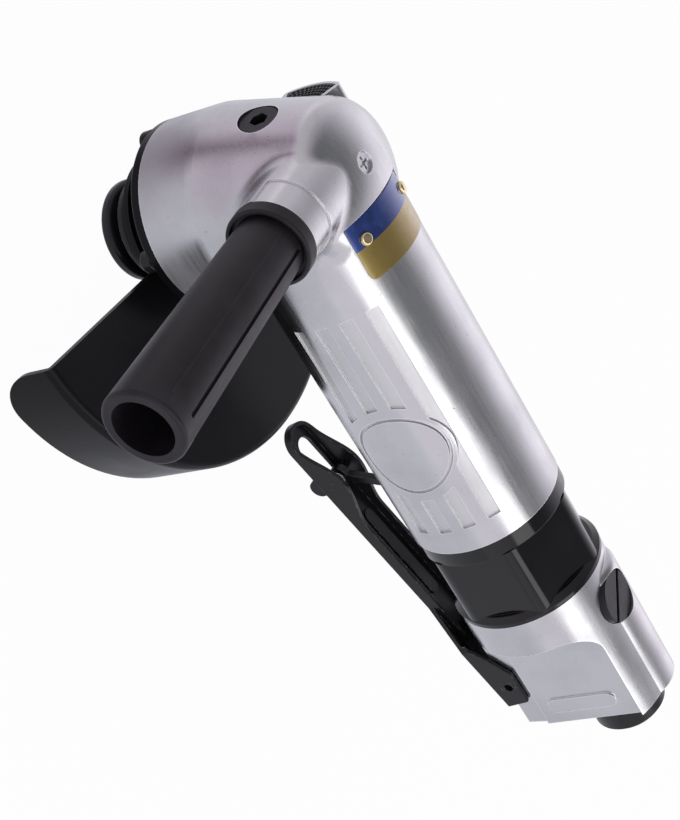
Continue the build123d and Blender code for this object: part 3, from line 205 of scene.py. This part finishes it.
def paintSky():
    world = bpy.data.worlds.new("studioWorld")
    scene.world = world
    world.use_nodes = True
    tree = world.node_tree
    sky = tree.nodes["Background"]
    way = addNode(tree, "ShaderNodeTexCoord").outputs["Generated"]
    part = addNode(tree, "ShaderNodeSeparateXYZ")
    tree.links.new(way, part.inputs[0])
    ramp = addNode(tree, "ShaderNodeValToRGB")
    stops = ramp.color_ramp.elements
    while len(stops) < len(studio["sky"]):
        stops.new(0.5)  # moved to its height below
    for stop, (height, colour) in zip(stops, studio["sky"]):
        stop.position = height
        stop.color = (*colour, 1)
    tree.links.new(part.outputs["Z"], ramp.inputs[0])
    lean = addNode(tree, "ShaderNodeVectorMath", operation="DOT_PRODUCT")
    tree.links.new(way, lean.inputs[0])
    lean.inputs[1].default_value = Vector(studio["fillFrom"]).normalized()
    fill = spread(tree, lean.outputs["Value"], *studio["fillFade"], 1.0, studio["fillGain"])
    shade = spread(tree, part.outputs["X"], *studio["shadeFade"], studio["shadeKeep"], 1.0)
    gain = calc(tree, "MULTIPLY", fill, shade)
    seen = addNode(tree, "ShaderNodeLightPath").outputs["Is Camera Ray"]
    tree.links.new(tint(tree, seen, ramp.outputs["Color"], white), sky.inputs["Color"])
    tree.links.new(calc(tree, "MAXIMUM", gain, seen), sky.inputs["Strength"])


hangKey()
paintSky()
print("light ready")

# floor: white to the camera; in the metal's reflections a painted reflection, a tinted sheet with a dark
# strip
paleFloor = {
    "colour": (0.86, 0.86, 0.87), "half": 6.0, "keep": 0.97,
    # front, side and back tint the painted reflection; strip is a painted dark reflection under the head
    "front": (0.76, 0.63, 0.76), "side": (0.76, 0.77, 0.84), "sideFade": (-0.28, -0.02),
    "back": (0.98, 0.96, 1.0), "backFade": (0.1, 0.4),
    "strip": (0.17, 0.12, 0.16), "stripAcross": -0.002, "stripHalf": (0.0, 0.062),
    "stripEnd": (-0.075, -0.03),
}


def floorGlow(tree, seen):
    look = paleFloor
    along, across = splitPoint(tree)[:2]
    # painted reflection: the tinted sheet and its dark strip show only to glossy and transmission rays
    sheet = tint(tree, spread(tree, along, *look["sideFade"]), look["front"], look["side"])
    sheet = tint(tree, spread(tree, across, *look["backFade"]), sheet, look["back"])
    off = calc(tree, "ABSOLUTE", calc(tree, "SUBTRACT", across, look["stripAcross"]))
    strip = calc(tree, "MULTIPLY", spread(tree, off, *look["stripHalf"], 1.0, 0.0),
                 spread(tree, along, *look["stripEnd"], 1.0, 0.0))
    return tint(tree, seen, tint(tree, strip, sheet, look["strip"]), white)


def floorPaint():
    paint = bpy.data.materials.new("paleFloorPaint")
    paint.use_nodes = True
    tree = paint.node_tree
    tree.nodes.clear()
    rays = addNode(tree, "ShaderNodeLightPath").outputs
    seen = calc(tree, "MAXIMUM", rays["Is Camera Ray"], rays["Is Glossy Ray"])
    seen = calc(tree, "MAXIMUM", seen, rays["Is Transmission Ray"])
    matt = addNode(tree, "ShaderNodeBsdfDiffuse")
    matt.inputs["Color"].default_value = (*paleFloor["colour"], 1)
    glow = addNode(tree, "ShaderNodeEmission")
    tree.links.new(floorGlow(tree, rays["Is Camera Ray"]), glow.inputs["Color"])
    mix = addNode(tree, "ShaderNodeMixShader")
    out = addNode(tree, "ShaderNodeOutputMaterial")
    tree.links.new(calc(tree, "MULTIPLY", seen, paleFloor["keep"]), mix.inputs[0])
    tree.links.new(matt.outputs[0], mix.inputs[1])
    tree.links.new(glow.outputs[0], mix.inputs[2])
    tree.links.new(mix.outputs[0], out.inputs["Surface"])
    return paint


def layFloor():
    work = bmesh.new()
    bmesh.ops.create_grid(work, x_segments=1, y_segments=1, size=paleFloor["half"])
    bmesh.ops.translate(work, verts=work.verts, vec=(0, 0, cadBox[0].z))
    mesh = bpy.data.meshes.new("paleFloor")
    work.to_mesh(mesh)
    work.free()
    mesh.materials.append(floorPaint())
    floor = bpy.data.objects.new("paleFloor", mesh)
    scene.collection.objects.link(floor)


layFloor()
print("floor laid")

# castings
castMetal = {
    "colour": (0.60, 0.60, 0.61), "rough": (0.20, 0.32),
    "smudge": (0.53, 0.525, 0.54), "smudgeGrain": (38, 4, 0.55), "smudgeRange": (0.42, 0.66),
    "pit": (0.26, 0.26, 0.27), "pitGrain": (900, 2, 0.5), "pitRange": (0.70, 0.78),
    "pitShare": 0.55, "pitDepth": 0.8,
    "lineGrain": (1.0, 3, 0.6), "barrelLines": (40, 900, 900), "valveLines": (60, 60, 1500),
    "lineRough": 0.04, "lineDepth": 0.02,
    "waveGrain": (60, 2, 0.4), "waveDepth": 3.0,
    # edge: every edge lighter, partly wear and partly painted highlight
    "edge": (0.94, 0.94, 0.95), "edgeReach": 0.0007, "edgeShare": 0.9,
    "bump": (0.22, 0.00012, 0.0002),
}
barrelRibs = {
    "axisUp": 0.0569, "deep": (0.0250, 0.02578), "along": (0.0330, 0.1165),  # where the sunk panels lie
    "colour": (0.64, 0.64, 0.64), "roughMore": 0.24, "pebbleGrain": (1500, 3, 0.6), "pebbleDepth": 2.2,
}
brushedHead = {"rise": (0.040, 0.027), "roughMore": 0.26}  # duller towards the head's lower edge


def ribField(tree):
    along, across, rise = splitPoint(tree, (0, 0, -barrelRibs["axisUp"]))
    square = calc(tree, "ADD", calc(tree, "POWER", across, 2.0), calc(tree, "POWER", rise, 2.0))
    deep = within(tree, calc(tree, "SQRT", square), *barrelRibs["deep"])
    return calc(tree, "MULTIPLY", deep, within(tree, along, *barrelRibs["along"]))


def castFinish(name, stretch, withRibs):
    look = castMetal
    finish, tree, shader = startFinish(name, look, 1.0)
    smudge = grain(tree, *look["smudgeGrain"])
    lines = grain(tree, *look["lineGrain"], stretch)
    pits = spread(tree, grain(tree, *look["pitGrain"]), *look["pitRange"])
    wave = calc(tree, "MULTIPLY", grain(tree, *look["waveGrain"]), look["waveDepth"])
    colour = tint(tree, spread(tree, smudge, *look["smudgeRange"]), look["colour"], look["smudge"])
    colour = tint(tree, calc(tree, "MULTIPLY", pits, look["pitShare"]), colour, look["pit"])
    rough = calc(tree, "ADD", spread(tree, smudge, *grainMiddle, *look["rough"]),
                 spread(tree, lines, *grainMiddle, -look["lineRough"], look["lineRough"]))
    height = calc(tree, "SUBTRACT", calc(tree, "MULTIPLY", lines, look["lineDepth"]),
                  calc(tree, "MULTIPLY", pits, look["pitDepth"]))
    height = calc(tree, "ADD", height, wave)
    if withRibs:
        brushed = spread(tree, splitPoint(tree)[2], *brushedHead["rise"], 0.0, brushedHead["roughMore"])
        sunk = ribField(tree)
        pebble = calc(tree, "MULTIPLY", grain(tree, *barrelRibs["pebbleGrain"]), sunk)
        colour = tint(tree, sunk, colour, barrelRibs["colour"])
        rough = calc(tree, "ADD", rough, brushed)
        rough = calc(tree, "ADD", rough, calc(tree, "MULTIPLY", sunk, barrelRibs["roughMore"]))
        height = calc(tree, "ADD", height, calc(tree, "MULTIPLY", pebble, barrelRibs["pebbleDepth"]))
    # every edge, convex and concave, lightened: partly wear, partly painted highlight
    lighterEdge = calc(tree, "MULTIPLY", edgeMask(tree, look["edgeReach"]), look["edgeShare"])
    tree.links.new(tint(tree, lighterEdge, colour, look["edge"]), shader.inputs["Base Color"])
    tree.links.new(rough, shader.inputs["Roughness"])
    addBump(tree, shader, height, *look["bump"])
    return finish


dress(castFinish("castBarrel", castMetal["barrelLines"], True), "motor_housing")
dress(castFinish("castValve", castMetal["valveLines"], False), "valve_body")
print("castings dressed")

# side handle
gripPlastic = {
    "colour": (0.012, 0.009, 0.012), "rough": (0.36, 0.50), "gloss": 0.28,
    "dust": (0.030, 0.026, 0.031), "dustGrain": (55, 4, 0.55), "dustRange": (0.45, 0.75),
    "edgeReach": 0.0005, "edgeShare": 0.5,
    "skinGrain": (2600, 2, 0.5), "bump": (0.16, 0.00010, 0.00025),
}


def plasticFinish(name):
    look = gripPlastic
    finish, tree, shader = startFinish(name, look, 0.0, Specular_IOR_Level=look["gloss"])
    cloud = grain(tree, *look["dustGrain"])
    colour = tint(tree, spread(tree, cloud, *look["dustRange"]), look["colour"], look["dust"])
    lighterEdge = calc(tree, "MULTIPLY", edgeMask(tree, look["edgeReach"]), look["edgeShare"])
    tree.links.new(tint(tree, lighterEdge, colour, look["dust"]), shader.inputs["Base Color"])
    tree.links.new(spread(tree, cloud, *grainMiddle, *look["rough"]), shader.inputs["Roughness"])
    addBump(tree, shader, grain(tree, *look["skinGrain"]), *look["bump"])
    return finish


dress(plasticFinish("gripPlastic"), "side_handle_grip")

# spacer ring and collar
glossBlack = {
    "colour": (0.004, 0.004, 0.0045), "rough": (0.07, 0.16), "gloss": 0.45,
    "cloudGrain": (70, 4, 0.55), "cloudRange": (0.35, 0.70),
    "lineGrain": (1.0, 3, 0.6), "lines": (3200, 20, 20), "bump": (0.05, 0.00006, 0.0003),
}


def glossFinish(name):
    look = glossBlack
    finish, tree, shader = startFinish(name, look, 0.0, Specular_IOR_Level=look["gloss"])
    cloud = grain(tree, *look["cloudGrain"])
    tree.links.new(spread(tree, cloud, *look["cloudRange"], *look["rough"]), shader.inputs["Roughness"])
    addBump(tree, shader, grain(tree, *look["lineGrain"], look["lines"]), *look["bump"])
    return finish


dress(glossFinish("glossRing"), "spacer_ring", "coupling_collar")

# guard, cover and grille
guardPaint = {
    "colour": (0.005, 0.005, 0.006), "rough": (0.22, 0.36), "gloss": 0.14, "cloudGrain": (45, 5, 0.55),
    "scuff": (0.030, 0.030, 0.034), "scuffGrain": (260, 4, 0.55), "scuffRange": (0.40, 0.62),
    "edgeReach": 0.0006, "peelGrain": (700, 2, 0.5), "bump": (0.10, 0.00012, 0.0003),
}


def paintFinish(name):
    look = guardPaint
    finish, tree, shader = startFinish(name, look, 0.0, Specular_IOR_Level=look["gloss"])
    cloud = grain(tree, *look["cloudGrain"])
    patches = spread(tree, grain(tree, *look["scuffGrain"]), *look["scuffRange"])
    scuff = calc(tree, "MULTIPLY", edgeMask(tree, look["edgeReach"]), patches)
    tree.links.new(tint(tree, scuff, look["colour"], look["scuff"]), shader.inputs["Base Color"])
    tree.links.new(spread(tree, cloud, *grainMiddle, *look["rough"]), shader.inputs["Roughness"])
    addBump(tree, shader, grain(tree, *look["peelGrain"]), *look["bump"])
    return finish


dress(paintFinish("guardPaint"), "wheel_guard", "guard_band", "spindle_cover", "exhaust_grille")

# black steel
blackOxide = {
    "colour": (0.012, 0.012, 0.013), "rough": (0.24, 0.42), "gloss": 0.3, "cloudGrain": (120, 4, 0.55),
    "wear": (0.22, 0.22, 0.23), "wearGrain": (420, 4, 0.55), "wearRange": (0.46, 0.60),
    "edgeReach": 0.00035, "fineGrain": (1800, 3, 0.6), "bump": (0.08, 0.00008, 0.0003),
}


def oxideFinish(name):
    look = blackOxide
    finish, tree, shader = startFinish(name, look, 0.0, Specular_IOR_Level=look["gloss"])
    cloud = grain(tree, *look["cloudGrain"])
    patches = spread(tree, grain(tree, *look["wearGrain"]), *look["wearRange"])
    wear = calc(tree, "MULTIPLY", edgeMask(tree, look["edgeReach"]), patches)
    tree.links.new(tint(tree, wear, look["colour"], look["wear"]), shader.inputs["Base Color"])
    tree.links.new(wear, shader.inputs["Metallic"])
    tree.links.new(spread(tree, cloud, *grainMiddle, *look["rough"]), shader.inputs["Roughness"])
    addBump(tree, shader, grain(tree, *look["fineGrain"]), *look["bump"])
    return finish


dress(oxideFinish("blackOxide"), "throttle_lever", "lock_lever", "flange_nut", "inner_flange", "head_plug",
      "inlet_bushing", "regulator_plug", "lever_pin", "lock_pin", "cover_screws", "throttle_bush")
print("black pieces dressed")

# plate with a gold and a blue field
dataPlate = {
    "colour": (0.32, 0.225, 0.052), "rub": (0.30, 0.21, 0.045),
    "blue": (0.006, 0.034, 0.20), "blueRub": (0.018, 0.055, 0.27), "blueEnd": 0.0166,  # along the barrel
    "rough": (0.26, 0.40), "metallic": 0.6,
    "coat": {"Coat_Weight": 1.0, "Coat_Roughness": 0.1, "Coat_IOR": 1.6},
    "rubGrain": (300, 4, 0.55), "rubRange": (0.4, 0.7),
    "dentGrain": (900, 2, 0.55), "bump": (0.05, 0.00006, 0.0002),
}


def plateFinish(name):
    look = dataPlate
    finish, tree, shader = startFinish(name, look, look["metallic"], **look["coat"])
    side = calc(tree, "LESS_THAN", splitPoint(tree)[0], look["blueEnd"])
    rub = grain(tree, *look["rubGrain"])
    worn = spread(tree, rub, *look["rubRange"])
    gold = tint(tree, worn, look["colour"], look["rub"])
    blue = tint(tree, worn, look["blue"], look["blueRub"])
    tree.links.new(tint(tree, side, gold, blue), shader.inputs["Base Color"])
    tree.links.new(spread(tree, rub, *grainMiddle, *look["rough"]), shader.inputs["Roughness"])
    addBump(tree, shader, grain(tree, *look["dentGrain"]), *look["bump"])
    return finish


dress(plateFinish("platePrint"), "nameplate")
print("plate dressed")

# bare metal, outside and inside
brassPin = {"colour": (0.84, 0.72, 0.44), "dull": (0.62, 0.50, 0.25), "rough": (0.12, 0.24)}
brightSteel = {"colour": (0.62, 0.62, 0.64), "dull": (0.46, 0.46, 0.48), "rough": (0.18, 0.32)}
shaftSteel = {"colour": (0.50, 0.50, 0.52), "dull": (0.36, 0.36, 0.38), "rough": (0.20, 0.34)}
ballSteel = {"colour": (0.70, 0.70, 0.72), "dull": (0.60, 0.60, 0.62), "rough": (0.08, 0.18)}
motorIron = {"colour": (0.34, 0.34, 0.35), "dull": (0.24, 0.24, 0.25), "rough": (0.34, 0.52)}
metalSkin = {
    "cloudGrain": (140, 4, 0.55), "cloudRange": (0.4, 0.7),
    "fineGrain": (600, 3, 0.6), "bump": (0.06, 0.00006, 0.0002),
}


def steelFinish(name, look):
    finish, tree, shader = startFinish(name, look, 1.0)
    cloud = spread(tree, grain(tree, *metalSkin["cloudGrain"]), *metalSkin["cloudRange"])
    fine = grain(tree, *metalSkin["fineGrain"])
    tree.links.new(tint(tree, cloud, look["colour"], look["dull"]), shader.inputs["Base Color"])
    tree.links.new(spread(tree, fine, *grainMiddle, *look["rough"]), shader.inputs["Roughness"])
    addBump(tree, shader, fine, *metalSkin["bump"])
    return finish


dress(steelFinish("rivetBrass", brassPin), "nameplate_rivets")
dress(steelFinish("screwZinc", brightSteel), "top_screw", "guard_band_screw", "handle_stud", "lock_spring",
      "throttle_spring", "throttle_plunger", "inlet_screen")
dress(steelFinish("shaftSteel", shaftSteel), "spindle", "bevel_gear", "drive_pinion", "rotor")
dress(steelFinish("ballSteel", ballSteel), *[name for name in nodes if name.endswith(("_race", "_balls"))])
dress(steelFinish("motorIron", motorIron), "front_end_plate", "rear_end_plate", "cylinder_liner")
print("bare metal dressed")

# vanes and seals
vaneResin = {"colour": (0.20, 0.11, 0.05), "fleck": (0.12, 0.065, 0.03), "rough": (0.45, 0.60),
             "fleckGrain": (1400, 3, 0.55)}
sealRubber = {"colour": (0.014, 0.014, 0.014), "fleck": (0.03, 0.03, 0.03), "rough": (0.50, 0.70),
              "fleckGrain": (900, 3, 0.55)}
fleckSkin = {"range": (0.35, 0.65), "bump": (0.12, 0.0001, 0.0002)}


def fleckFinish(name, look):
    finish, tree, shader = startFinish(name, look, 0.0)
    fleck = grain(tree, *look["fleckGrain"])
    share = spread(tree, fleck, *fleckSkin["range"])
    tree.links.new(tint(tree, share, look["colour"], look["fleck"]), shader.inputs["Base Color"])
    tree.links.new(spread(tree, fleck, *grainMiddle, *look["rough"]), shader.inputs["Roughness"])
    addBump(tree, shader, fleck, *fleckSkin["bump"])
    return finish


dress(fleckFinish("vaneResin", vaneResin), "rotor_vanes")
dress(fleckFinish("sealRubber", sealRubber), "spindle_seal", "spigot_o_ring", "regulator_o_ring")
print("vanes and seals dressed")

bare = [name for name, node in nodes.items() if not node.data.materials]
print("without a finish:", bare)
